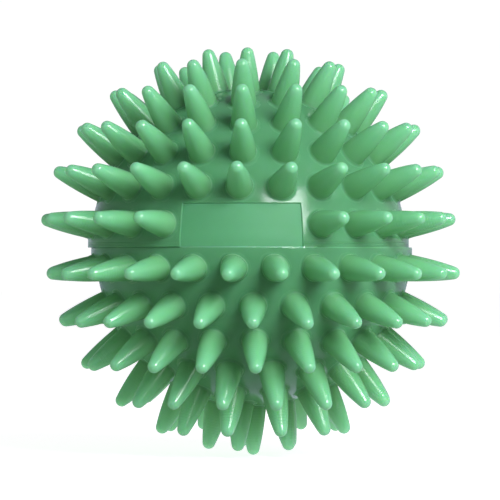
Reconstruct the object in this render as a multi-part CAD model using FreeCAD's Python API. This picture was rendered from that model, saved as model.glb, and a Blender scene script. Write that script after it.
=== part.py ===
import FreeCAD, Part
import math
import os

# Spiky massage ball: a hollow ball of soft glossy PVC, moulded as two half
# shells with solid spikes, bonded over a ring inside the equator, and filled
# with air through a needle valve at the top pole that a small plug closes.
# Millimetres. +Z is the pole axis, the origin is the centre of the ball, and
# the blank panel faces -Y.
# Names ending in _R are radii, in _Z heights above the equator.

Vector = FreeCAD.Vector
ORIGIN = Vector(0, 0, 0)
Z_AXIS = Vector(0, 0, 1)

# ---------------------------------------------------------------- dimensions
BALL_TIP_R = 50.0        # centre of the ball to the end of a full-length spike
BODY_R = 37.8            # outside of the plain ball
WALL = 2.2
BODY_INNER_R = BODY_R - WALL
MOULD_SHIFT = 0.58       # each half sits this far off centre along X

# raised lip either side of the seam
LIP_R = 38.45
LIP_HEIGHT_UPPER = 1.35
LIP_HEIGHT_LOWER = 0.95
LIP_BLEND = 0.45         # height over which the lip falls back to the ball

# spike: a rounded end, two cones and a flared root
SPIKE_END_R = 1.53       # ball that rounds the end
SPIKE_MID_R = 2.10       # where the upper cone meets the lower one
SPIKE_MID_DEPTH = 3.8    # below the spike's own end
SPIKE_BASE_R = 3.04      # where the lower cone meets the flare
SPIKE_BASE_DEPTH = 10.8  # below the spike's own end
ROOT_Z = BALL_TIP_R - 12.45     # widest point of the flare, on a spike along +Z
BURIED_Z = BALL_TIP_R - 13.3    # foot of the spike, inside the wall

# One row of spikes per line: latitude, number in a full row, azimuth of the
# first spike (0 faces -Y, positive towards +X), how much shorter the spikes
# are than BALL_TIP_R, which spikes of the row are left out, and the radius of
# the flared root (smaller beside the seam, to clear its lips).
UPPER_ROWS = [
    (7.9, 25, -2.25, 0.0, (24, 0, 1), 3.4),
    (21.5, 23, -3.3, -0.15, (), 3.55),
    (35.1, 20, -2.25, 0.05, (), 3.55),
    (48.7, 16, -2.4, 0.33, (), 3.55),
    (63.0, 11, -3.7, 0.74, (), 3.55),
    (77.9, 5, -1.8, 1.62, (), 3.5),
]
LOWER_ROWS = [
    (-7.3, 25, -6.7, -0.1, (), 3.4),
    (-20.9, 23, -0.1, 0.05, (), 3.55),
    (-34.8, 20, 0.7, 0.2, (), 3.55),
    (-48.8, 16, -12.8, 0.25, (), 3.55),
    (-62.9, 11, -15.9, 0.33, (), 3.55),
    (-77.2, 5, -20.2, 0.6, (), 3.5),
    (-90.0, 1, 0.0, 0.4, (), 3.5),
]

# blank panel recessed into the upper half
PANEL_START_AZ = -24.7
PANEL_END_AZ = 19.5
PANEL_BOTTOM_Z = -0.2            # just below the seam, so the cut is open there
PANEL_TOP_Z = 10.15
PANEL_FLOOR_R = BODY_R - 0.3
PANEL_CUT_R = BODY_R + 3.0       # outer side of the cutter, clear of the lip

# bonding ring inside the equator
RING_GLUE_GAP = 0.05
RING_R = BODY_INNER_R - MOULD_SHIFT - RING_GLUE_GAP
RING_INNER_R = 33.9
RING_HALF_HEIGHT = 4.0
RING_BEVEL = 0.5

# neck moulded inside the upper half round the valve hole
NECK_END_Z = 30.5
NECK_END_R = 4.8
NECK_WALL_R = 5.8                # where it meets the wall
NECK_WALL_Z = BODY_INNER_R - 0.4
NECK_TOP_Z = BODY_INNER_R + 0.6  # buried in the wall
NECK_BEVEL = 0.4
HOLE_R = 2.55                    # through the shell and its neck
SEAT_R = 3.2                     # counterbore for the valve's flange
SEAT_Z = 37.05

# needle valve, from its flange down
FIT_GAP = 0.02                   # glue line between valve and shell
FLANGE_R = SEAT_R - 2 * FIT_GAP
FLANGE_Z = SEAT_Z + FIT_GAP      # underside
VALVE_TOP_Z = 37.76
FLANGE_BEVEL = 0.25
BARREL_R = HOLE_R - FIT_GAP
COLLAR_R = 4.1                   # inner collar that keeps the valve in the hole
COLLAR_Z = NECK_END_Z - 0.05     # its top stays clear of the neck's end
COLLAR_RIM = 0.7                 # height of its straight rim
COLLAR_BEVEL = 0.4
BULB_R = 3.3
BULB_TOP_Z = COLLAR_Z - 1.5
HEAD_BORE_R = 2.1                # counterbore for the plug's head
HEAD_BORE_Z = 36.7
STEM_BORE_R = 1.45               # bore for the plug's stem
STEM_BORE_Z = 32.5
CHANNEL_R = 1.0                  # channel that grips a pump needle
CHANNEL_Z = 26.7
MEMBRANE = 0.8                   # slit membrane below the channel
VALVE_END_Z = CHANNEL_Z - MEMBRANE
VALVE_END_R = 1.5
SLIT_LENGTH = 2.0                # along X
SLIT_WIDTH = 0.15
SLIT_CUT_BELOW = 0.5             # how far the slit's cutter starts below the valve
SLIT_CUT_HEIGHT = 2.0            # reaches through the membrane into the channel

# plug
PLUG_HEAD_R = HEAD_BORE_R - 0.12
PLUG_HEAD_BOTTOM_Z = HEAD_BORE_Z + 0.05
PLUG_HEAD_TOP_Z = 37.65
PLUG_STEM_R = STEM_BORE_R - 0.05
PLUG_STEM_END_Z = 33.1
PLUG_NIB_R = 1.0
PLUG_NIB_TOP_Z = 38.5
PLUG_NIB_BEVEL = 0.3


# ------------------------------------------------------------------- helpers
def revolve(profile, angle=360.0):
    """solid of revolution about Z from a closed profile in the XZ plane

    Each part lists (r, z) points: two make a line, three an arc."""
    edges = []
    for part in profile:
        points = [Vector(r, 0, z) for r, z in part]
        if len(points) == 2:
            edges.append(Part.makeLine(*points))
        else:
            edges.append(Part.Arc(*points).toShape())
    return Part.Face(Part.Wire(edges)).revolve(ORIGIN, Z_AXIS, angle)


def closed_lines(points):
    """profile of straight lines through the points and back to the first"""
    return [[start, end] for start, end in zip(points, points[1:] + points[:1])]


def on_sphere(radius, z):
    return (math.sqrt(radius * radius - z * z), z)


def direction(latitude, azimuth):
    lat, az = math.radians(latitude), math.radians(azimuth)
    return Vector(math.cos(lat) * math.sin(az), -math.cos(lat) * math.cos(az), math.sin(lat))


# -------------------------------------------------------------------- spikes
def make_spike(shorter, root_r):
    """one spike standing on +Z of a ball centred at the origin"""
    end_z = BALL_TIP_R - shorter
    centre_z = end_z - SPIKE_END_R

    def on_round_end(angle):
        return (SPIKE_END_R * math.cos(angle), centre_z + SPIKE_END_R * math.sin(angle))

    # the upper cone leaves the round end along a tangent
    mid = (SPIKE_MID_R, end_z - SPIKE_MID_DEPTH)
    mid_rise = mid[1] - centre_z
    mid_distance = math.hypot(mid[0], mid_rise)
    tangent_angle = math.atan2(mid_rise, mid[0]) + math.acos(SPIKE_END_R / mid_distance)
    tangent = on_round_end(tangent_angle)
    arc_middle = on_round_end((math.pi / 2 + tangent_angle) / 2)

    end = (0, end_z)
    base = (SPIKE_BASE_R, end_z - SPIKE_BASE_DEPTH)
    root = (root_r, ROOT_Z)
    foot = (root_r, BURIED_Z)
    foot_centre = (0, BURIED_Z)
    return revolve([
        [end, arc_middle, tangent],
        [tangent, mid], [mid, base], [base, root],
        [root, foot], [foot, foot_centre], [foot_centre, end],
    ])


def spikes_for(rows):
    spikes = []
    for latitude, count, first_azimuth, shorter, left_out, root_r in rows:
        for k in range(count):
            if k in left_out:
                continue
            spike = make_spike(shorter, root_r)
            outward = direction(latitude, first_azimuth + k * 360.0 / count)
            spike.Placement = FreeCAD.Placement(ORIGIN, FreeCAD.Rotation(Z_AXIS, outward))
            spikes.append(spike)
    return spikes


# --------------------------------------------------------------- half shells
def half_shell(side, lip_height):
    """hollow half ball with its seam lip; side is +1 for upper, -1 for lower"""
    lip_bottom = (LIP_R, 0.0)
    lip_top = (LIP_R, lip_height)
    blend_end = on_sphere(BODY_R, lip_height + LIP_BLEND)
    diagonal = math.sqrt(0.5)
    outer_middle = (BODY_R * diagonal, BODY_R * diagonal)
    inner_middle = (BODY_INNER_R * diagonal, BODY_INNER_R * diagonal)
    profile = [
        [lip_bottom, lip_top], [lip_top, blend_end],
        [blend_end, outer_middle, (0, BODY_R)],
        [(0, BODY_R), (0, BODY_INNER_R)],
        [(0, BODY_INNER_R), inner_middle, (BODY_INNER_R, 0)],
        [(BODY_INNER_R, 0), lip_bottom],
    ]
    return revolve([[(r, side * z) for r, z in part] for part in profile])


def panel_cutter():
    """block that leaves the panel's floor curved like the ball"""
    far_bottom = (PANEL_CUT_R, PANEL_BOTTOM_Z)
    far_top = (PANEL_CUT_R, PANEL_TOP_Z)
    floor_bottom = on_sphere(PANEL_FLOOR_R, PANEL_BOTTOM_Z)
    floor_middle = on_sphere(PANEL_FLOOR_R, (PANEL_BOTTOM_Z + PANEL_TOP_Z) / 2)
    floor_top = on_sphere(PANEL_FLOOR_R, PANEL_TOP_Z)
    cutter = revolve([
        [far_bottom, far_top], [far_top, floor_top],
        [floor_top, floor_middle, floor_bottom],
        [floor_bottom, far_bottom],
    ], PANEL_END_AZ - PANEL_START_AZ)
    # the profile starts on +X; azimuth 0 is -Y
    cutter.rotate(ORIGIN, Z_AXIS, -90.0 + PANEL_START_AZ)
    return cutter


def build_upper():
    shell = half_shell(+1, LIP_HEIGHT_UPPER).multiFuse(spikes_for(UPPER_ROWS))
    shell = shell.cut(panel_cutter())
    shell.translate(Vector(-MOULD_SHIFT, 0, 0))
    # the neck and the valve hole are on the ball's own axis, so they come after the shift
    neck = revolve(closed_lines([
        (0, NECK_END_Z), (NECK_END_R - NECK_BEVEL, NECK_END_Z),
        (NECK_END_R, NECK_END_Z + NECK_BEVEL),
        (NECK_WALL_R, NECK_WALL_Z), (NECK_WALL_R, NECK_TOP_Z), (0, NECK_TOP_Z),
    ]))
    shell = shell.fuse(neck)
    # both cutters run past the surfaces they open
    hole = Part.makeCylinder(HOLE_R, 9, Vector(0, 0, NECK_END_Z - 1.0))
    seat = Part.makeCylinder(SEAT_R, 3, Vector(0, 0, SEAT_Z))
    return shell.cut(hole).cut(seat)


def build_lower():
    shell = half_shell(-1, LIP_HEIGHT_LOWER).multiFuse(spikes_for(LOWER_ROWS))
    shell.translate(Vector(MOULD_SHIFT, 0, 0))
    return shell


def build_ring():
    """ring with a rounded outside and bevelled inner edges"""
    top = RING_HALF_HEIGHT
    edge_r = on_sphere(RING_R, top)[0]
    bevel_r = RING_INNER_R + RING_BEVEL
    bevel_z = top - RING_BEVEL
    return revolve([
        [(edge_r, -top), (RING_R, 0), (edge_r, top)],
        [(edge_r, top), (bevel_r, top)],
        [(bevel_r, top), (RING_INNER_R, bevel_z)],
        [(RING_INNER_R, bevel_z), (RING_INNER_R, -bevel_z)],
        [(RING_INNER_R, -bevel_z), (bevel_r, -top)],
        [(bevel_r, -top), (edge_r, -top)],
    ])


# ---------------------------------------------------------------- valve, plug
def build_valve():
    """soft needle valve: flange in the shell, collar inside, slit end"""
    rim_z = COLLAR_Z - COLLAR_RIM
    body = revolve(closed_lines([
        # flange
        (FLANGE_R, FLANGE_Z), (FLANGE_R, VALVE_TOP_Z - FLANGE_BEVEL),
        (FLANGE_R - FLANGE_BEVEL, VALVE_TOP_Z),
        # stepped bore, downwards
        (HEAD_BORE_R, VALVE_TOP_Z), (HEAD_BORE_R, HEAD_BORE_Z),
        (STEM_BORE_R, HEAD_BORE_Z), (STEM_BORE_R, STEM_BORE_Z),
        (CHANNEL_R, STEM_BORE_Z), (CHANNEL_R, CHANNEL_Z), (0, CHANNEL_Z),
        # bulb, upwards
        (0, VALVE_END_Z), (VALVE_END_R, VALVE_END_Z), (BULB_R - 0.5, VALVE_END_Z + 1.8),
        (BULB_R, VALVE_END_Z + 2.7), (BULB_R, BULB_TOP_Z),
        # collar and barrel
        (COLLAR_R - COLLAR_BEVEL, rim_z - COLLAR_BEVEL), (COLLAR_R, rim_z),
        (COLLAR_R, COLLAR_Z), (BARREL_R, COLLAR_Z), (BARREL_R, FLANGE_Z),
    ]))
    slit_corner = Vector(-SLIT_LENGTH / 2, -SLIT_WIDTH / 2, VALVE_END_Z - SLIT_CUT_BELOW)
    return body.cut(Part.makeBox(SLIT_LENGTH, SLIT_WIDTH, SLIT_CUT_HEIGHT, slit_corner))


def build_plug():
    """stopper: round head with a nib to pull it by, and a stem"""
    return revolve(closed_lines([
        # stem
        (0, PLUG_STEM_END_Z), (PLUG_STEM_R - 0.5, PLUG_STEM_END_Z),
        (PLUG_STEM_R, PLUG_STEM_END_Z + 0.6), (PLUG_STEM_R, PLUG_HEAD_BOTTOM_Z),
        # head
        (PLUG_HEAD_R, PLUG_HEAD_BOTTOM_Z), (PLUG_HEAD_R, PLUG_HEAD_TOP_Z - 0.25),
        (PLUG_HEAD_R - 0.35, PLUG_HEAD_TOP_Z),
        # nib
        (PLUG_NIB_R + 0.3, PLUG_HEAD_TOP_Z + 0.05), (PLUG_NIB_R, PLUG_HEAD_TOP_Z + 0.35),
        (PLUG_NIB_R, PLUG_NIB_TOP_Z - PLUG_NIB_BEVEL),
        (PLUG_NIB_R - PLUG_NIB_BEVEL, PLUG_NIB_TOP_Z), (0, PLUG_NIB_TOP_Z),
    ]))


# --------------------------------------------------------------------- write
BUILDERS = {
    "upper_half_shell": build_upper,
    "lower_half_shell": build_lower,
    "bonding_ring": build_ring,
    "valve_body": build_valve,
    "valve_plug": build_plug,
}
os.makedirs("parts", exist_ok=True)
for name, build in BUILDERS.items():
    shape = build()
    # booleans return compounds: a single solid is written on its own
    if shape.ShapeType != "Solid":
        solids = shape.Solids
        shape = solids[0] if len(solids) == 1 else Part.makeCompound(solids)
    shape.exportStep("parts/%s.step" % name)
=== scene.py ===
# Massage ball: two soft PVC half shells with spikes, seam lips and a blank panel, a bonding ring
# inside, and a needle valve with its plug at the top.
# The ball is centred on the origin: the valve points to +Z, the seam lies in the XY plane and
# the panel faces the front, -Y. Pieces are sized in mm and their meshes are stored in metres.
# Azimuth is in degrees, 0 at the front and growing towards +X; latitude rises from the seam.
import math
import bpy
import numpy as np
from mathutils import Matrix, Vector
from mathutils.geometry import delaunay_2d_cdt


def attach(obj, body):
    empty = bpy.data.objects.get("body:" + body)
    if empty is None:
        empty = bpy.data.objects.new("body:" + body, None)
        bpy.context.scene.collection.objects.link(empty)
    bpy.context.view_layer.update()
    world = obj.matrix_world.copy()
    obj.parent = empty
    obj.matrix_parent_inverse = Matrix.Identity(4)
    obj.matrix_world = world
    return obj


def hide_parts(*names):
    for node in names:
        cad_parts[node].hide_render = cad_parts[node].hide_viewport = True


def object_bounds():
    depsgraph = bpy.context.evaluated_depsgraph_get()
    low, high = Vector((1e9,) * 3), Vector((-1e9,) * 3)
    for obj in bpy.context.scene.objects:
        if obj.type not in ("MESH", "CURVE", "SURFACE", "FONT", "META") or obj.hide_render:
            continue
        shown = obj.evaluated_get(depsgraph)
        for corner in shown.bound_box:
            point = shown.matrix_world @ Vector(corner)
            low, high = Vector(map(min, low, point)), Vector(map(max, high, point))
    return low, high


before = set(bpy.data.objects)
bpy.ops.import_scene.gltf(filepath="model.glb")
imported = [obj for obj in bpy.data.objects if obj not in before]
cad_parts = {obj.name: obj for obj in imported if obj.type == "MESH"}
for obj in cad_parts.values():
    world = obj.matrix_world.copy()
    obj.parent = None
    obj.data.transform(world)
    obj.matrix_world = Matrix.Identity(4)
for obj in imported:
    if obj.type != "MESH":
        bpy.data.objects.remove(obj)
cad_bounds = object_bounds()
MM = 0.001
rng = np.random.default_rng(41)

# ------------------------------------------------------------------ sizes, mm
TIP_R = 50.0                  # ball's centre to the end of a full-length spike
BODY_R = 37.8                 # outside of the wall
INNER_R = BODY_R - 2.2        # inside of the wall
SHIFT = 0.58                  # the upper half sits this far to -X, the lower half to +X

# Spikes
TIP_BALL = 1.53               # radius of the rounded end
TIP_ANGLE = math.radians(17.3)    # where the rounded end meets the side
SIDE_N, TIP_N, ROOT_N = 20, 8, 6  # rings on the side, the end and the root fillet
SPIKE_SIDES = 40
LEAN, GIRTH = 0.07, 0.006     # spread of the lean, mm, and of the girth, as a share

# Seam
COLUMNS = 720                 # divisions round the seam
FLARE = 0.60                  # how far the seam lips stand out at the sides
LOWER_LIP_SHIFT = -0.40       # the lower lip's own offset along X
SCRAP_AZ = (-2.0, 27.0)       # stretch of the lower lip with scraps of flash

# Panel
PANEL_AZ = (-24.7, 19.5)
PANEL_TOP = 10.15
PANEL_DEPTH = 0.30
PANEL_BEVEL = 0.2
BEVEL_DEG = math.degrees(PANEL_BEVEL / BODY_R)

# Valve seat and the neck below it
SEAT_R, SEAT_Z, HOLE_R = 3.2, 37.05, 2.55
NECK_Z, NECK_R, NECK_WALL_R = 30.5, 4.8, 5.8
NECK_ROOT_R = NECK_WALL_R + 0.45
VALVE_SIDES = 64

# Points spread over each half, outside and inside
OUTER_POINTS, INNER_POINTS = 13500, 1500
OFF_SPIKE = 20.0              # depth below a spike's end given to skin away from the spikes

# latitude, number in a full row, azimuth of the first, how much shorter, left out, root fillet
UPPER_ROWS = [
    (7.9, 25, -2.25, 0.0, (24, 0, 1), 0.45),
    (21.5, 23, -3.3, -0.15, (), 0.55),
    (35.1, 20, -2.25, 0.05, (), 0.55),
    (48.7, 16, -2.4, 0.33, (), 0.55),
    (63.0, 11, -3.7, 0.74, (), 0.55),
    (77.9, 5, -1.8, 1.62, (), 0.50),
]
LOWER_ROWS = [
    (7.3, 25, -6.7, -0.1, (), 0.45),
    (20.9, 23, -0.1, 0.05, (), 0.55),
    (34.8, 20, 0.7, 0.2, (), 0.55),
    (48.8, 16, -12.8, 0.25, (), 0.55),
    (62.9, 11, -15.9, 0.33, (), 0.55),
    (77.2, 5, -20.2, 0.6, (), 0.50),
    (90.0, 1, 0.0, 0.4, (), 0.50),
]

# Upper lip: heights above the parting face, the eased edge, and heights of the witness marks
UPPER_LIP_HEIGHTS = [0.0, 0.01, 0.03, 0.07, 0.16, 0.30, 0.35, 0.40, 0.52, 0.66, 0.71, 0.76,
                     0.88, 0.99, 1.04, 1.09, 1.21, 1.33, 1.45]
LIP_EDGE, MARK_DEPTH = 0.07, 0.065
LIP_MARKS = (0.35, 0.71, 1.04)
# Lower lip: distance from the parting face, how far inside BODY_R
LOWER_LIP = [(0.0, 0.11), (0.01, 0.08), (0.05, 0.060), (0.12, 0.043), (0.20, 0.025), (0.28, 0.008),
             (0.36, 0.0), (0.52, 0.0), (0.70, 0.0), (0.88, 0.0), (1.05, 0.0)]


# ------------------------------------------------------------------ directions and profiles
def direction(lat, az):
    """unit vector at a latitude and azimuth"""
    a, b = math.radians(lat), math.radians(az)
    return np.array([math.cos(a) * math.sin(b), -math.cos(a) * math.cos(b), math.sin(a)])


def latitude(z):
    return math.degrees(math.asin(z / BODY_R))


def even_directions(count):
    """directions spread evenly over the upper half in a golden-angle spiral"""
    i = np.arange(count) + 0.5
    z = i / count
    angle = i * math.pi * (3 - math.sqrt(5))
    r = np.sqrt(1 - z ** 2)
    return np.stack([r * np.cos(angle), r * np.sin(angle), z], 1)


def smoothstep(t):
    return t * t * (3 - 2 * t)


def taper(depth):
    """radius of a spike at a depth below its end, past the rounded end"""
    return 1.45 + 2.38 * (1.0 - np.exp(-(depth - 1.1) / 9.0))


def spike_profile(shorter, fillet):
    """rings (r, z, depth) from the foot on the ball to just below the end, then the end's height"""
    end = TIP_R - shorter
    tip_depth = TIP_BALL * (1 - math.sin(TIP_ANGLE))
    step = TIP_BALL * math.cos(TIP_ANGLE) - taper(tip_depth)

    def side(depth):
        """the taper, blended into the rounded end"""
        return taper(depth) + step * math.exp(-(depth - tip_depth) / 2.0)

    def fillet_centre(depth):
        h = 1e-3
        slope = (side(depth + h) - side(depth - h)) / (2 * h)
        normal = np.array([1.0, slope])
        return np.array([side(depth), end - depth]) + fillet * normal / np.linalg.norm(normal)

    # halve in on the depth where the fillet touches both the side and the ball
    shallow, deep = 5.0, 14.0
    for _ in range(60):
        middle = (shallow + deep) / 2
        if np.linalg.norm(fillet_centre(middle)) > BODY_R + fillet:
            shallow = middle
        else:
            deep = middle
    root = (shallow + deep) / 2
    centre = fillet_centre(root)
    on_side = np.array([side(root), end - root]) - centre
    on_ball = centre * BODY_R / (BODY_R + fillet) - centre
    start = math.atan2(on_ball[1], on_ball[0])
    stop = math.atan2(on_side[1], on_side[0])

    rings = []
    for i in range(ROOT_N):
        t = start + (stop - start) * i / ROOT_N
        rings.append((centre[0] + fillet * math.cos(t), centre[1] + fillet * math.sin(t)))
    for i in range(SIDE_N):
        depth = root + (tip_depth - root) * i / SIDE_N
        rings.append((side(depth), end - depth))
    for i in range(TIP_N):
        t = TIP_ANGLE + (math.pi / 2 - TIP_ANGLE) * i / TIP_N
        rings.append((TIP_BALL * math.cos(t), end - TIP_BALL + TIP_BALL * math.sin(t)))
    r, z = np.array(rings).T
    return r, z, end - z, end


def upper_lip():
    """(height, radius) up from the parting face: an eased edge, then flat with witness marks"""
    levels = []
    for z in UPPER_LIP_HEIGHTS:
        r = BODY_R
        if z < LIP_EDGE:
            t = 1 - z / LIP_EDGE
            r -= LIP_EDGE * (1 - math.sqrt(1 - t * t))
        if z in LIP_MARKS:
            r -= MARK_DEPTH
        levels.append((z, r))
    return levels


def wobble(az, phase):
    """slow unevenness of the trimmed seam, -1 to 1"""
    a = np.radians(az)
    return (0.5 * np.sin(7 * a + phase) + 0.3 * np.sin(17 * a + 2.1 * phase)
            + 0.2 * np.sin(41 * a - phase))


def flare(points, lip_shift):
    """the shells swell towards the seam, less at the front, feet of the spikes included"""
    az = np.degrees(np.arctan2(points[:, 0], -points[:, 1]))
    radius = np.linalg.norm(points, axis=1)
    front = 0.25 + 0.75 * smoothstep(np.clip((abs(az) - 38.0) / 30.0, 0, 1))
    band = smoothstep(np.clip((4.6 - points[:, 2]) / 2.9, 0, 1))
    outside = np.where(radius > INNER_R + 0.6, 1.0, 0.0)
    outside = outside * smoothstep(np.clip(1 - (radius - BODY_R) / 2.4, 0, 1))
    points = points * (1 + FLARE * front * band * outside / radius)[:, None]
    points[:, 0] += lip_shift * band * outside
    return points


def skin(directions, radius, upper):
    """points at a radius, set back inside the upper half's panel, and a mask of the panel"""
    az = np.degrees(np.arctan2(directions[:, 0], -directions[:, 1]))
    slack = 1e-6
    panel = (upper & (BODY_R * directions[:, 2] <= PANEL_TOP - PANEL_BEVEL + slack)
             & (az >= PANEL_AZ[0] + BEVEL_DEG - slack) & (az <= PANEL_AZ[1] - BEVEL_DEG + slack))
    radius = np.where(panel, BODY_R - PANEL_DEPTH, radius)
    return directions * radius[:, None], panel.astype(float)


# ------------------------------------------------------------------ mesh building
class Builder:
    """collects points with their three attributes, quads and triangles"""

    def __init__(self):
        self.points, self.quads, self.tris = [], [], []
        self.attributes = {"spike_s": [], "spike_w": [], "panel_m": []}
        self.count = 0

    # spike: weight towards the spikes' colours; on the lower lip's edge it carries a painted
    # highlight
    def add(self, points, depth=OFF_SPIKE, spike=0.0, panel=0.0):
        """add points and return their indices; the attributes are one value or one per point"""
        points = np.asarray(points, float).reshape(-1, 3)
        self.points.append(points)
        for parts, value in zip(self.attributes.values(), (depth, spike, panel)):
            parts.append(np.broadcast_to(np.asarray(value, float), (len(points),)).copy())
        indices = np.arange(self.count, self.count + len(points))
        self.count += len(points)
        return indices

    def strip(self, lower, upper):
        """quads between two closed rings of one count; outward when upper lies above lower"""
        self.quads.append(np.stack([lower, np.roll(lower, -1), np.roll(upper, -1), upper], axis=1))

    def sheet(self, outline, holes, lines, inner, flip=False):
        """triangles over part of a sphere seen from its pole; holes are rings left open"""
        local, order = {}, []
        for group in [outline, *holes, *lines, inner]:
            for i in group:
                i = int(i)
                if i not in local:
                    local[i] = len(order)
                    order.append(i)
        points = np.concatenate(self.points)[order]
        unit = points / np.linalg.norm(points, axis=1)[:, None]
        flat = unit[:, :2] / (1.0 + unit[:, 2:3])      # stereographic view
        edges = []
        for ring in [outline, *holes]:
            ids = [local[int(i)] for i in ring]
            edges += [(ids[k], ids[(k + 1) % len(ids)]) for k in range(len(ids))]
        for line in lines:
            ids = [local[int(i)] for i in line]
            edges += list(zip(ids[:-1], ids[1:]))
        result = delaunay_2d_cdt([Vector((float(x), float(y))) for x, y in flat],
                                 edges, [], 0, 1e-9, True)
        faces, sources = result[2], [source[0] for source in result[3]]
        hole_of = {local[int(i)]: k for k, hole in enumerate(holes) for i in hole}
        tris = []
        for face in faces:
            corners = [sources[i] for i in face]
            owners = [hole_of.get(i, -1) for i in corners]
            if owners[0] >= 0 and owners[0] == owners[1] == owners[2]:
                continue
            tris.append([order[i] for i in (corners[::-1] if flip else corners)])
        self.tris.append(np.array(tris))


def make_mesh(name, points, quads, tris, attributes=None):
    """smooth-shaded object from points in mm"""
    mesh = bpy.data.meshes.new(name)
    quad_n, tri_n = len(quads), len(tris)
    mesh.vertices.add(len(points))
    mesh.vertices.foreach_set("co", (points * MM).astype(np.float32).ravel())
    loops = np.concatenate([quads.ravel(), tris.ravel()]).astype(np.int32)
    mesh.loops.add(len(loops))
    mesh.loops.foreach_set("vertex_index", loops)
    starts = np.concatenate([np.arange(quad_n) * 4, quad_n * 4 + np.arange(tri_n) * 3])
    totals = np.concatenate([np.full(quad_n, 4), np.full(tri_n, 3)])
    mesh.polygons.add(quad_n + tri_n)
    mesh.polygons.foreach_set("loop_start", starts.astype(np.int32))
    mesh.polygons.foreach_set("loop_total", totals.astype(np.int32))
    mesh.update(calc_edges=True)
    mesh.validate(verbose=False)
    mesh.polygons.foreach_set("use_smooth", np.ones(quad_n + tri_n, bool))
    for key, values in (attributes or {}).items():
        attribute = mesh.attributes.new(key, "FLOAT", "POINT")
        attribute.data.foreach_set("value", values.astype(np.float32))
    mesh.update()
    piece = bpy.data.objects.new(name, mesh)
    bpy.context.scene.collection.objects.link(piece)
    return piece


def revolve(name, profile, sides):
    """turn a closed (r, z) profile about Z, counter-clockwise when r is to the right;
    points with r = 0 become poles"""
    points, rings = [], []
    for r, z in profile:
        if r < 1e-6:
            rings.append([len(points)])
            points.append((0, 0, z))
        else:
            rings.append(list(range(len(points), len(points) + sides)))
            for j in range(sides):
                t = 2 * math.pi * j / sides
                points.append((r * math.cos(t), r * math.sin(t), z))
    quads, tris = [], []
    for a, b in zip(rings, rings[1:] + rings[:1]):
        if len(a) == 1 and len(b) == 1:
            continue
        for j in range(sides):
            k = (j + 1) % sides
            if len(a) == 1:
                tris.append((a[0], b[k], b[j]))
            elif len(b) == 1:
                tris.append((a[j], a[k], b[0]))
            else:
                quads.append((a[j], a[k], b[k], b[j]))
    return make_mesh(name, np.array(points, float), np.array(quads).reshape(-1, 4),
                     np.array(tris).reshape(-1, 3))


def rounded(corners, steps=5):
    """(r, z) profile from corners (r, z, rounding radius)"""
    profile = []
    for i, (r, z, rounding) in enumerate(corners):
        if rounding <= 0:
            profile.append((r, z))
            continue
        corner = np.array([r, z], float)
        before = np.array(corners[i - 1][:2], float) - corner
        after = np.array(corners[(i + 1) % len(corners)][:2], float) - corner
        before_len, after_len = np.linalg.norm(before), np.linalg.norm(after)
        before, after = before / before_len, after / after_len
        half = math.acos(float(np.clip(np.dot(before, after), -1, 1))) / 2
        # a rounding takes up no more than 0.49 of either side
        reach = min(rounding / math.tan(half), 0.49 * before_len, 0.49 * after_len)
        radius = reach * math.tan(half)
        bisector = (before + after) / np.linalg.norm(before + after)
        centre = corner + bisector * (radius / math.sin(half))
        first, last = corner + before * reach - centre, corner + after * reach - centre
        start = math.atan2(first[1], first[0])
        stop = math.atan2(last[1], last[0])
        while stop - start > math.pi:
            stop -= 2 * math.pi
        while stop - start < -math.pi:
            stop += 2 * math.pi
        for k in range(steps + 1):
            t = start + (stop - start) * k / steps
            profile.append((centre[0] + radius * math.cos(t), centre[1] + radius * math.sin(t)))
    return profile


# ------------------------------------------------------------------ parts of a half shell
def seam_azimuths(upper):
    """azimuths of the seam's columns; the upper half has some on the panel's edges"""
    az = list(np.linspace(-180, 180, COLUMNS + 1)[:-1])
    if upper:
        edges = [PANEL_AZ[0], PANEL_AZ[0] + BEVEL_DEG, PANEL_AZ[1] - BEVEL_DEG, PANEL_AZ[1]]
        clear = 0.7 * 180.0 / COLUMNS
        az = [a for a in az if min(abs(a - e) for e in edges) > clear] + edges
    return np.array(sorted(az))


def add_lip(mesh, levels, az, upper, phase):
    """seam lip: rings from the parting face up to the plain ball"""
    # drawn for both halves, so that the later draws stay in step; only the lower lip uses it
    flash = np.clip(rng.normal(0.0, 0.055, (3, 64)), -0.05, 0.12)
    scrap = (az > SCRAP_AZ[0]) & (az < SCRAP_AZ[1])
    scrap_column = ((az[scrap] - SCRAP_AZ[0]) * 2).astype(int)
    near_panel = (az > PANEL_AZ[0] - 1) & (az < PANEL_AZ[1] + 4)
    rings = []
    for k, (z, radius) in enumerate(levels):
        lat = latitude(z)
        edge = 1 - z / levels[-1][0]
        radii = radius + edge * 0.025 * wobble(az, phase)
        if not upper and 0.02 < z < 0.3:
            radii[scrap] += flash[k % 3, scrap_column]
        points, panel = skin(np.array([direction(lat, a) for a in az]), radii, upper)
        # painted highlight: the lower lip's thin edge takes the pale colour of a spike's end, set
        # at a depth of 0.3, strongest beside the panel, for light it lets through and catches
        painted_edge_light = np.where(near_panel, 0.9, 0.3) if not upper and z < 0.13 else 0.0
        depth = 0.3 if not upper and z < 0.3 else OFF_SPIKE
        rings.append(mesh.add(points, depth, painted_edge_light, panel))
    for lower_ring, upper_ring in zip(rings[:-1], rings[1:]):
        mesh.strip(lower_ring, upper_ring)
    return rings


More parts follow.
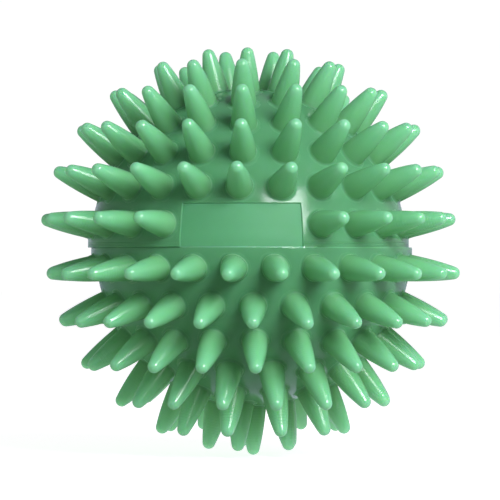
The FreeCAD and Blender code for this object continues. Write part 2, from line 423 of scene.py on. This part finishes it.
def add_spike(mesh, lat, az, profile):
    """one spike; returns its foot ring. No two leave the mould alike: each leans a little
    and differs a little in girth"""
    r, z, depth, end = profile
    axis = direction(lat, az)
    b = math.radians(az)
    east = np.array([math.cos(b), math.sin(b), 0.0])
    north = np.cross(axis, east)
    turn = (np.arange(SPIKE_SIDES) * 2 * math.pi / SPIKE_SIDES)[None, :, None]
    around = np.cos(turn) * east + np.sin(turn) * north
    lean = rng.normal(0, LEAN, 2)
    girth = 1.0 + rng.normal(0, GIRTH)
    lean_vector = lean[0] * east + lean[1] * north
    fade = np.clip((z - (BODY_R + 0.3)) / (end - BODY_R), 0, 1) ** 1.5
    radii = r * (1 + (girth - 1) * np.clip(fade * 3, 0, 1))
    points = axis[None, None, :] * z[:, None, None] + around * radii[:, None, None]
    points = points + fade[:, None, None] * lean_vector[None, None, :]
    weight = np.clip((depth[0] - depth) / 0.6, 0, 1)
    rings = mesh.add(points, np.repeat(depth, SPIKE_SIDES), np.repeat(weight, SPIKE_SIDES))
    rings = rings.reshape(len(r), SPIKE_SIDES)
    for below, above in zip(rings[:-1], rings[1:]):
        mesh.strip(below, above)
    tip = mesh.add([axis * end + lean[0] * east + lean[1] * north], 0.0, 1.0)[0]
    last = rings[-1]
    mesh.tris.append(np.stack([last, np.roll(last, -1), np.full(SPIKE_SIDES, tip)], axis=1))
    return rings[0]


def add_spikes(mesh, rows):
    """all spikes; returns their foot rings and (axis, angular radius) of each"""
    holes, footprints = [], []
    for lat, count, first, shorter, left_out, fillet in rows:
        profile = spike_profile(shorter, fillet)
        for k in range(count):
            if k in left_out:
                continue
            az = first + k * 360.0 / count
            holes.append(add_spike(mesh, lat, az, profile))
            footprints.append((direction(lat, az), math.asin(profile[0][0] / BODY_R)))
    return holes, footprints


def add_valve_hole(mesh, centre_x):
    """counterbore, floor, bore, and the neck's drafted outside up to the wall;
    returns the rim on the outside and the neck's root on the inside"""
    turn = np.arange(VALVE_SIDES) * 2 * math.pi / VALVE_SIDES

    def circle(radius, z):
        return np.stack([centre_x + radius * np.cos(turn), radius * np.sin(turn),
                         np.broadcast_to(z, VALVE_SIDES)], 1)

    def circle_on_sphere(radius, sphere):
        points = circle(radius, 0.0)
        points[:, 2] = np.sqrt(sphere ** 2 - points[:, 0] ** 2 - points[:, 1] ** 2)
        return points

    rim = circle_on_sphere(SEAT_R, BODY_R)
    profile = [
        (SEAT_R - 0.02, rim[:, 2] - 0.15), (SEAT_R - 0.02, SEAT_Z), (HOLE_R, SEAT_Z),
        (HOLE_R, NECK_Z + 0.12), (HOLE_R + 0.12, NECK_Z), (NECK_R - 0.4, NECK_Z),
        (NECK_R - 0.12, NECK_Z + 0.12), (NECK_R, NECK_Z + 0.4),
    ]
    for t in (0.25, 0.5, 0.75, 0.92):
        profile.append((NECK_R + (NECK_WALL_R - NECK_R) * t,
                        NECK_Z + 0.4 + (INNER_R - 1.35 - NECK_Z) * t))
    circles = [rim] + [circle(r, z) for r, z in profile]
    circles.append(circle_on_sphere(NECK_ROOT_R, INNER_R))
    rings = [mesh.add(points) for points in circles]
    for a, b in zip(rings[:-1], rings[1:]):
        mesh.strip(b, a)
    return rings[0], rings[-1]


def add_panel_outline(mesh, az, top_ring, top_z):
    """outer and inner edge of the panel's bevel, both starting and ending on the lip's top"""
    lines, directions = [], []
    for inset, inset_deg in ((0.0, 0.0), (PANEL_BEVEL, BEVEL_DEG)):
        left, right = PANEL_AZ[0] + inset_deg, PANEL_AZ[1] - inset_deg
        lats = [latitude(z) for z in np.linspace(top_z, PANEL_TOP - inset, 10)[1:]]
        stations = [(lat, left) for lat in lats]
        stations += [(lats[-1], a) for a in np.linspace(left, right, 31)[1:-1]]
        stations += [(lat, right) for lat in reversed(lats)]
        along = np.array([direction(lat, a) for lat, a in stations])
        points, panel = skin(along, BODY_R, True)
        start = top_ring[np.argmin(abs(az - left))]
        stop = top_ring[np.argmin(abs(az - right))]
        lines.append([start, *mesh.add(points, panel=panel), stop])
        directions += list(along)
    return lines, directions


def build_half(rows, levels, upper, offset_x, lip_shift, phase):
    """one half shell, built above the seam and mirrored for the lower half; the upper half
    has the panel and the valve hole"""
    mesh = Builder()
    az = seam_azimuths(upper)
    lip = add_lip(mesh, levels, az, upper, phase)
    holes, footprints = add_spikes(mesh, rows)
    inner_holes, lines, line_directions = [], [], []
    if upper:       # the valve stays on the ball's own axis
        rim, neck_root = add_valve_hole(mesh, -offset_x)
        valve_axis = np.array([-offset_x, 0, BODY_R])
        valve_axis = valve_axis / np.linalg.norm(valve_axis)
        holes.append(rim)
        inner_holes.append(neck_root)
        footprints.append((valve_axis, math.asin(SEAT_R / BODY_R)))
        lines, line_directions = add_panel_outline(mesh, az, lip[-1], levels[-1][0])

    # outside, between the spikes; points keep clear of every ring and line
    spread = even_directions(OUTER_POINTS)
    keep = spread[:, 2] > (levels[-1][0] + 0.45) / BODY_R
    for axis, angle in footprints:
        keep &= spread @ axis < math.cos(angle + 0.42 / BODY_R)
    for along in line_directions:
        keep &= spread @ along < math.cos(0.5 / BODY_R)
    points, panel = skin(spread[keep], BODY_R, upper)
    mesh.sheet(lip[-1], holes, lines, mesh.add(points, panel=panel))

    # inside wall
    inner_rim = mesh.add([direction(0, a) * INNER_R for a in az])
    mesh.strip(inner_rim, lip[0])
    spread = even_directions(INNER_POINTS)
    keep = spread[:, 2] > 0.04
    if upper:
        keep &= spread @ valve_axis < math.cos(math.asin(NECK_ROOT_R / INNER_R) + 0.04)
    mesh.sheet(inner_rim, inner_holes, [], mesh.add(spread[keep] * INNER_R), flip=True)

    points = flare(np.concatenate(mesh.points), lip_shift)
    quads, tris = np.concatenate(mesh.quads), np.concatenate(mesh.tris)
    if not upper:
        points = points * np.array([1, 1, -1.0])
        quads, tris = quads[:, ::-1], tris[:, ::-1]
    points = points + np.array([offset_x, 0, 0])
    attributes = {key: np.concatenate(parts) for key, parts in mesh.attributes.items()}
    return points, quads, tris, attributes


# ------------------------------------------------------------------ shader nodes
class Nodes:
    """short calls for building the node tree of a material or world"""

    def __init__(self, owner):
        owner.use_nodes = True
        self.tree = owner.node_tree

    def get(self, name):
        return self.tree.nodes[name]

    def new(self, kind, **settings):
        node = self.tree.nodes.new(kind)
        for key, value in settings.items():
            setattr(node, key, value)
        return node

    def put(self, socket, value):
        """link an output to the socket, or set a number or an RGB colour"""
        if isinstance(value, bpy.types.NodeSocket):
            self.tree.links.new(value, socket)
        else:
            socket.default_value = (*value, 1.0) if isinstance(value, tuple) else value

    def math(self, operation, a, b=None):
        node = self.new("ShaderNodeMath", operation=operation)
        self.put(node.inputs[0], a)
        if b is not None:
            self.put(node.inputs[1], b)
        return node.outputs[0]

    def add(self, a, b):
        return self.math("ADD", a, b)

    def sub(self, a, b):
        return self.math("SUBTRACT", a, b)

    def mul(self, a, b):
        return self.math("MULTIPLY", a, b)

    def mix(self, factor, a, b, blend="MIX"):
        """colour mix; its colour sockets are inputs 6 and 7 and its colour result output 2"""
        node = self.new("ShaderNodeMix", data_type="RGBA", blend_type=blend)
        for index, value in ((0, factor), (6, a), (7, b)):
            self.put(node.inputs[index], value)
        return node.outputs[2]

    def noise(self, coords, scale, detail=2.0, roughness=0.5):
        node = self.new("ShaderNodeTexNoise")
        node.inputs["Scale"].default_value = scale
        node.inputs["Detail"].default_value = detail
        node.inputs["Roughness"].default_value = roughness
        self.put(node.inputs["Vector"], coords)
        return node.outputs["Fac"]

    def ramp(self, value, low, high):
        """0 at low to 1 at high, clamped"""
        node = self.new("ShaderNodeMapRange", clamp=True)
        self.put(node.inputs["Value"], value)
        node.inputs["From Min"].default_value = low
        node.inputs["From Max"].default_value = high
        return node.outputs["Result"]

    def colour_ramp(self, value, stops, span):
        """colours at stops (position, colour), positions running from 0 to span"""
        node = self.new("ShaderNodeValToRGB")
        elements = node.color_ramp.elements
        while len(elements) < len(stops):
            elements.new(0.5)
        for element, (position, colour) in zip(elements, stops):
            element.position = position / span
            element.color = (*colour, 1.0)
        self.put(node.inputs["Fac"], self.mul(value, 1.0 / span))
        return node.outputs["Color"]

    def attribute(self, name):
        return self.new("ShaderNodeAttribute", attribute_name=name).outputs["Fac"]


# ------------------------------------------------------------------ materials
# the spikes' green by depth below a spike's end, mm, with painted light on it: lighter ends stand
# in for light passing through the thin ends, darker feet for painted shade at the feet
SPIKE_GREEN_WITH_PAINTED_LIGHT = [
    (0.4, (0.216, 0.566, 0.337)), (1.8, (0.208, 0.567, 0.318)), (3.2, (0.191, 0.541, 0.287)),
    (5.0, (0.180, 0.512, 0.262)), (7.0, (0.173, 0.488, 0.239)), (9.0, (0.168, 0.458, 0.220)),
    (11.5, (0.152, 0.403, 0.190)),
]
BODY_COLOUR = (0.102, 0.322, 0.153)
PANEL_COLOUR = (0.097, 0.361, 0.170)
SPECULAR = 0.42
FINE_ROUGHNESS = 0.08                     # how much the fine noise varies the roughness
SHEEN = {"rough": 0.17, "tip": 0.095, "spike": 0.05, "foot": 0.30, "panel": 0.45}
TIP_SPECULAR, FOOT_SPECULAR = 0.25, 0.36  # added on the ends, taken off in the fillets
SCATTER_WALL, SCATTER_SPIKE = 0.60, 2.30  # subsurface scale of the wall, and added on spikes, mm
RIPPLE, WIDE_RIPPLE = 0.36, 0.66          # pitches of the turning marks, mm


def pvc_base(name, subsurface):
    """soft PVC with its subsurface set, and the two noises every colour and sheen is built on"""
    material = bpy.data.materials.new(name)
    nodes = Nodes(material)
    shader = nodes.get("Principled BSDF")
    shader.inputs["Subsurface Weight"].default_value = subsurface
    shader.inputs["Subsurface Radius"].default_value = (0.95, 1.0, 0.6)
    shader.inputs["Subsurface Scale"].default_value = 1.25 * MM
    shader.inputs["IOR"].default_value = 1.5
    coords = nodes.new("ShaderNodeTexCoord").outputs["Object"]
    cloud = nodes.noise(coords, scale=90.0, detail=3.0, roughness=0.55)
    fine = nodes.noise(coords, scale=1400.0)
    return material, nodes, shader, coords, cloud, fine


def base_roughness(nodes, fine, roughness):
    return nodes.add(nodes.mul(fine, FINE_ROUGHNESS), roughness - FINE_ROUGHNESS / 2)


def add_bump(nodes, shader, height):
    bump = nodes.new("ShaderNodeBump")
    bump.inputs["Strength"].default_value = 1.0
    bump.inputs["Distance"].default_value = 0.0035 * MM
    nodes.put(bump.inputs["Height"], height)
    nodes.put(shader.inputs["Normal"], bump.outputs["Normal"])


def plain_pvc(name, light, deep, roughness, subsurface):
    """cloudy pigment between two colours"""
    material, nodes, shader, _, cloud, fine = pvc_base(name, subsurface)
    colour = nodes.mix(nodes.ramp(cloud, low=0.35, high=0.68), deep, light)
    nodes.put(shader.inputs["Base Color"], colour)
    nodes.put(shader.inputs["Roughness"], base_roughness(nodes, fine, roughness))
    shader.inputs["Specular IOR Level"].default_value = SPECULAR
    add_bump(nodes, shader, nodes.mul(fine, 0.5))
    return material


def skin_pvc(name):
    """the shells: painted light on the spikes (lighter ends, darker feet) and a painted highlight
    on the lower lip's edge, a duller panel, turning marks on the spikes
    """
    material, nodes, shader, coords, cloud, fine = pvc_base(name, subsurface=1.0)
    add, sub, mul, ramp = nodes.add, nodes.sub, nodes.mul, nodes.ramp
    depth = nodes.attribute("spike_s")
    # spike weight; on the lower lip's edge this is a painted highlight
    spike = nodes.attribute("spike_w")
    panel = nodes.attribute("panel_m")

    colour = nodes.mix(panel, BODY_COLOUR, PANEL_COLOUR)
    # painted light: spikes take colours lighter towards their ends and darker at their feet, by
    # depth
    colour = nodes.mix(spike, colour, nodes.colour_ramp(depth, SPIKE_GREEN_WITH_PAINTED_LIGHT, span=13.0))
    shade = nodes.new("ShaderNodeHueSaturation")
    nodes.put(shade.inputs["Color"], colour)
    nodes.put(shade.inputs["Value"], add(mul(cloud, 0.16), 0.92))
    nodes.put(shader.inputs["Base Color"], shade.outputs["Color"])

    # light travels further in the solid spikes than along the wall
    scatter = add(mul(spike, SCATTER_SPIKE * MM), SCATTER_WALL * MM)
    nodes.put(shader.inputs["Subsurface Scale"], scatter)

    # polished ends, duller fillets and panel
    tip = mul(sub(1.0, ramp(depth, low=1.5, high=5.0)), spike)
    foot = mul(sub(1.0, spike), ramp(depth, low=6.0, high=8.0))
    foot = mul(foot, sub(1.0, ramp(depth, low=13.0, high=16.0)))
    specular = add(mul(tip, TIP_SPECULAR), SPECULAR)
    specular = sub(specular, mul(foot, FOOT_SPECULAR))
    nodes.put(shader.inputs["Specular IOR Level"], specular)
    rough = sub(base_roughness(nodes, fine, SHEEN["rough"]), mul(tip, SHEEN["tip"]))
    for mask, key in ((spike, "spike"), (foot, "foot"), (panel, "panel")):
        rough = add(rough, mul(mask, SHEEN[key]))
    nodes.put(shader.inputs["Roughness"], rough)

    # turning marks: two waves down the spike, in patches, absent from the end
    wave = nodes.math("SINE", mul(depth, 2 * math.pi / RIPPLE))
    wide = nodes.math("SINE", mul(depth, 2 * math.pi / WIDE_RIPPLE))
    wave = add(wave, mul(wide, 0.9))
    patches = ramp(nodes.noise(coords, scale=160.0, detail=1.0), low=0.36, high=0.58)
    patches = mul(patches, ramp(depth, low=1.7, high=2.6))
    wave = mul(mul(wave, spike), patches)
    add_bump(nodes, shader, add(mul(fine, 0.5), mul(wave, 2.6)))
    return material


shell_pvc = skin_pvc("soft_pvc")
ring_pvc = plain_pvc("ring_pvc", light=(0.13, 0.38, 0.18), deep=(0.11, 0.33, 0.155),
                     roughness=0.45, subsurface=0.4)
valve_rubber = plain_pvc("valve_rubber", light=(0.055, 0.20, 0.090), deep=(0.045, 0.17, 0.075),
                         roughness=0.42, subsurface=0.3)
plug_plastic = plain_pvc("plug_plastic", light=(0.10, 0.34, 0.155), deep=(0.09, 0.30, 0.135),
                         roughness=0.3, subsurface=0.5)


# ------------------------------------------------------------------ pieces
def dress(piece, sharp_angle, material, replaced):
    piece.data.set_sharp_from_angle(angle=math.radians(sharp_angle))
    piece.data.materials.append(material)
    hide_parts(replaced)


def build_shells():
    lower_levels = [(z, BODY_R - inset) for z, inset in LOWER_LIP]
    upper = make_mesh("upper_half_shell_skin", *build_half(
        UPPER_ROWS, upper_lip(), upper=True, offset_x=-SHIFT, lip_shift=0.0, phase=0.7))
    lower = make_mesh("lower_half_shell_skin", *build_half(
        LOWER_ROWS, lower_levels, upper=False, offset_x=SHIFT, lip_shift=LOWER_LIP_SHIFT,
        phase=2.3))
    dress(upper, 38, shell_pvc, "upper_half_shell")
    dress(lower, 38, shell_pvc, "lower_half_shell")
    return upper, lower


def build_ring():
    """band inside the seam: its outside follows the wall, its bore has a shallow groove"""
    outer = INNER_R - SHIFT - 0.05

    def outside(z):
        return math.sqrt(outer * outer - z * z)

    # (r, z) round the bottom edge; the top edge mirrors it
    bottom = [(33.9, -3.5), (34.05, -3.85), (34.4, -4.0), (outside(4.0) - 0.25, -4.0),
              (outside(3.75), -3.75)]
    top = [(r, -z) for r, z in reversed(bottom)]
    groove = [(33.9, 1.2), (34.0, 0.9), (34.0, -0.9), (33.9, -1.2)]
    band = [(outside(z), z) for z in np.linspace(-3.3, 3.3, 13)]
    ring = revolve("bonding_ring_moulding", bottom + band + top + groove, sides=160)
    dress(ring, 35, ring_pvc, "bonding_ring")
    return ring


def build_valve():
    """body through the bore: a collar below the neck, a flange in the counterbore"""
    collar_z = NECK_Z - 0.05
    stem_r = HOLE_R - 0.02
    flange_r, flange_z = SEAT_R - 0.04, SEAT_Z + 0.02
    # r, z, rounding
    corners = [
        (0, 25.9, 0), (1.5, 25.9, 0.4), (2.8, 27.7, 1.0), (3.3, 28.6, 0.8),
        (3.3, collar_z - 1.5, 0.15), (3.7, collar_z - 1.1, 0.25), (4.1, collar_z - 0.7, 0.3),
        (4.1, collar_z, 0.25), (stem_r, collar_z, 0.1), (stem_r, flange_z, 0.12),
        (flange_r, flange_z, 0.08), (flange_r, 37.76, 0.28), (2.1, 37.76, 0.22),
        (2.1, 36.7, 0.12), (1.45, 36.7, 0.12), (1.45, 32.5, 0.1), (1.0, 32.5, 0.12),
        (1.0, 26.7, 0.15), (0, 26.7, 0),
    ]
    valve = revolve("valve_body_moulding", rounded(corners), VALVE_SIDES)
    dress(valve, 40, valve_rubber, "valve_body")
    return valve


def build_plug():
    """pin with a flange and a waisted knob on top"""
    # r, z, rounding
    corners = [
        (0, 33.1, 0), (0.9, 33.1, 0.25), (1.4, 33.7, 0.3), (1.4, 36.75, 0.12),
        (1.98, 36.75, 0.15), (1.98, 37.65, 0.25), (1.25, 37.7, 0.25), (1.0, 37.95, 0.15),
        (0.8, 38.12, 0.12), (1.0, 38.3, 0.12), (0.75, 38.5, 0.2), (0, 38.5, 0),
    ]
    plug = revolve("valve_plug_moulding", rounded(corners), sides=56)
    dress(plug, 40, plug_plastic, "valve_plug")
    return plug


ball_pieces = [*build_shells(), build_ring(), build_valve()]
plug = build_plug()
for piece in ball_pieces:
    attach(piece, "ball")
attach(plug, "plug")

# ------------------------------------------------------------------ floor, world, light, camera
scene = bpy.context.scene
FLOOR_HALF, FLOOR_GAP = 6.0, 0.0004       # half width, and drop below the ball, m
FLOOR_SEEN = 0.78                         # glow seen by the camera
FLOOR_FRONT, FLOOR_BACK = 0.37, 1.04      # glow on the ball from the front and from elsewhere
FLOOR_GLOW = (1.0, 0.985, 0.86)
# tint of the floor and the surround in the skin's sheen, by side
GLOSS_FLOOR_LEFT, GLOSS_FLOOR_RIGHT = (0.41, 0.47, 0.66), (1.06, 1.10, 1.44)
GLOSS_LEFT, GLOSS_RIGHT = (0.42, 0.47, 0.54), (1.16, 1.21, 1.33)
GLOSS_BEHIND = (1.05, 1.15, 1.45)
SIDE_BLEND = {"low": -0.7, "high": 0.7}   # left to right, as the X part of a direction
# brightness of the surround by the Z part of the direction plus one
WORLD_STOPS = [(0.0, (0.62, 0.62, 0.62)), (0.95, (0.525, 0.525, 0.525)),
               (1.45, (0.335, 0.335, 0.335)), (2.0, (0.13, 0.13, 0.13))]
BACKDROP = (1.02, 1.02, 1.02)

# Camera, mm: level with the ball but for a slight look upwards
CAMERA_DISTANCE = 859.9248
VIEW_WIDTH = 119.7                        # width taken in at the ball's centre
CAMERA_TARGET = (-0.20349, 0.0, -0.58653)
CAMERA_ELEVATION = -0.30


def floor_material():
    """white to the camera; to the ball a glow, dim towards the camera"""
    material = bpy.data.materials.new("floor_white")
    nodes = Nodes(material)
    add, sub, mul, ramp = nodes.add, nodes.sub, nodes.mul, nodes.ramp
    seen = nodes.get("Principled BSDF")
    seen.inputs["Base Color"].default_value = (0.86, 0.86, 0.87, 1)
    seen.inputs["Roughness"].default_value = 0.9
    seen.inputs["Specular IOR Level"].default_value = 0.1
    seen.inputs["Emission Color"].default_value = (1, 1, 1, 1)
    seen.inputs["Emission Strength"].default_value = FLOOR_SEEN

    split = nodes.new("ShaderNodeSeparateXYZ")
    nodes.put(split.inputs[0], nodes.new("ShaderNodeNewGeometry").outputs["Position"])
    x, y = split.outputs["X"], split.outputs["Y"]
    # distance from the ball's axis, m, kept off zero
    radius = nodes.math("POWER", add(add(mul(x, x), mul(y, y)), 0.0009), 0.5)
    front = ramp(nodes.math("DIVIDE", mul(y, -1.0), radius), low=0.1, high=0.85)
    side = ramp(nodes.math("DIVIDE", x, radius), **SIDE_BLEND)
    light_path = nodes.new("ShaderNodeLightPath")
    glossy = light_path.outputs["Is Glossy Ray"]

    glow = nodes.new("ShaderNodeEmission")
    sheen = nodes.mix(side, GLOSS_FLOOR_LEFT, GLOSS_FLOOR_RIGHT)
    nodes.put(glow.inputs["Color"], nodes.mix(glossy, FLOOR_GLOW, sheen))
    lit = add(mul(front, FLOOR_FRONT - FLOOR_BACK), FLOOR_BACK)
    # in the skin's sheen the floor is dimmer, more so away from the ball's foot
    faint = mul(add(mul(ramp(radius, low=0.036, high=0.085), 0.36), 0.20), glossy)
    nodes.put(glow.inputs["Strength"], mul(lit, sub(1.0, faint)))

    mix = nodes.new("ShaderNodeMixShader")
    nodes.put(mix.inputs[0], light_path.outputs["Is Camera Ray"])
    nodes.put(mix.inputs[1], glow.outputs[0])
    nodes.put(mix.inputs[2], seen.outputs[0])
    nodes.put(nodes.get("Material Output").inputs["Surface"], mix.outputs[0])
    return material


def build_floor():
    z = cad_bounds[0][2] - FLOOR_GAP
    corners = [(sx * FLOOR_HALF, sy * FLOOR_HALF, z)
               for sx, sy in ((-1, -1), (1, -1), (1, 1), (-1, 1))]
    mesh = bpy.data.meshes.new("floor")
    mesh.from_pydata(corners, [], [(0, 1, 2, 3)])
    floor = bpy.data.objects.new("floor", mesh)
    scene.collection.objects.link(floor)
    mesh.materials.append(floor_material())


def build_world():
    """surround brightest from below, tinted by side in the sheen, near white to the camera"""
    world = bpy.data.worlds.new("studio")
    scene.world = world
    nodes = Nodes(world)
    background = nodes.get("Background")
    split = nodes.new("ShaderNodeSeparateXYZ")
    nodes.put(split.inputs[0], nodes.new("ShaderNodeTexCoord").outputs["Generated"])
    surround = nodes.colour_ramp(nodes.add(split.outputs["Z"], 1.0), WORLD_STOPS, span=2.0)
    light_path = nodes.new("ShaderNodeLightPath")
    sides = nodes.mix(nodes.ramp(split.outputs["X"], **SIDE_BLEND), GLOSS_LEFT, GLOSS_RIGHT)
    behind = nodes.ramp(split.outputs["Y"], low=0.75, high=1.0)
    tint = nodes.mix(behind, sides, GLOSS_BEHIND)
    surround = nodes.mix(light_path.outputs["Is Glossy Ray"], surround, tint, blend="MULTIPLY")
    surround = nodes.mix(light_path.outputs["Is Camera Ray"], surround, BACKDROP)
    nodes.put(background.inputs["Color"], surround)
    background.inputs["Strength"].default_value = 1.0


def place(name, data, location, target):
    """object in the scene, pointing its -Z at the target"""
    thing = bpy.data.objects.new(name, data)
    thing.location = location
    thing.rotation_euler = (target - thing.location).to_track_quat("-Z", "Y").to_euler()
    scene.collection.objects.link(thing)
    return thing


def build_key_light():
    """from the front, right and above"""
    light = bpy.data.lights.new("key", "AREA")
    light.shape = "RECTANGLE"
    light.size = 0.38
    light.size_y = 0.36
    light.energy = 6.9
    light.color = (0.98, 1.0, 1.04)
    location = Vector(direction(lat=27, az=29)) * 0.8
    place("key", light, location, Vector((0, 0, 0)))


def build_camera():
    camera = bpy.data.cameras.new("camera")
    camera.sensor_width = 36.0
    camera.lens = camera.sensor_width * CAMERA_DISTANCE / VIEW_WIDTH
    camera.clip_start = 0.01
    camera.clip_end = 50
    target = Vector([c * MM for c in CAMERA_TARGET])
    location = target + Vector(direction(CAMERA_ELEVATION, 0)) * (CAMERA_DISTANCE * MM)
    scene.camera = place("camera", camera, location, target)


build_floor()
build_world()
build_key_light()
build_camera()
scene.view_settings.view_transform = "Standard"
scene.view_settings.look = "None"
scene.view_settings.exposure = 0.0
